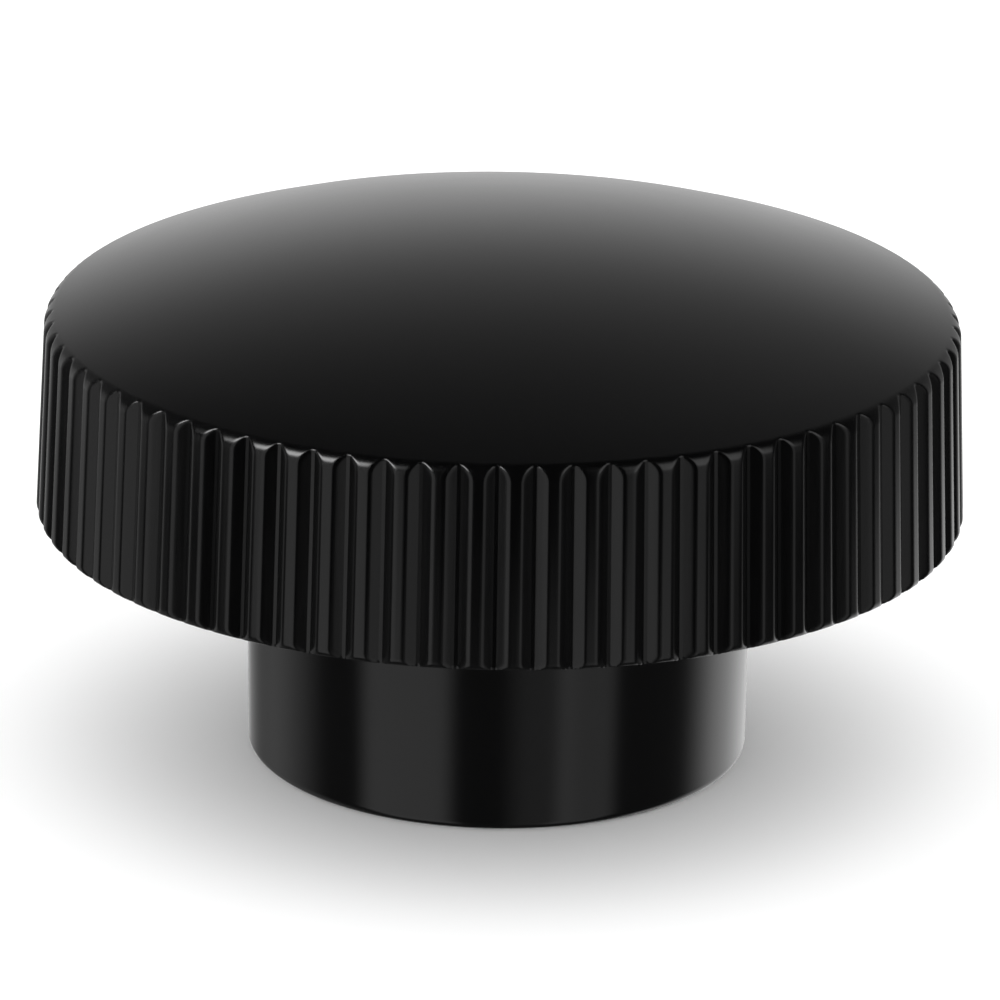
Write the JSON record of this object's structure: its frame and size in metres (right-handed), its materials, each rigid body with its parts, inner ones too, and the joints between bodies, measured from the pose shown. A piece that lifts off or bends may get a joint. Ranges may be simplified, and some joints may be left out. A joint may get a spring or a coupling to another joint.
{
  "type": "knurled knob",
  "caption": "Round black clamping knob with a domed top, a straight-knurled rim and a plain hub, tapped from below through a moulded-in brass insert.",
  "frame": {"origin": "centre of the hub's end face, which the knob stands on", "axes": "+Z along the knob's axis, up through the domed top; the hole opens towards -Z"},
  "size_m": [0.05, 0.05, 0.0291],
  "materials": {
    "black_plastic": "moulded black plastic, satin on the domed top and the knurled rim, a little glossier on the hub",
    "brass": "turned brass with fine tool marks"
  },
  "bodies": {
    "root": {"knob_body": "black_plastic", "threaded_insert": "brass"}
  },
  "joints": []
}
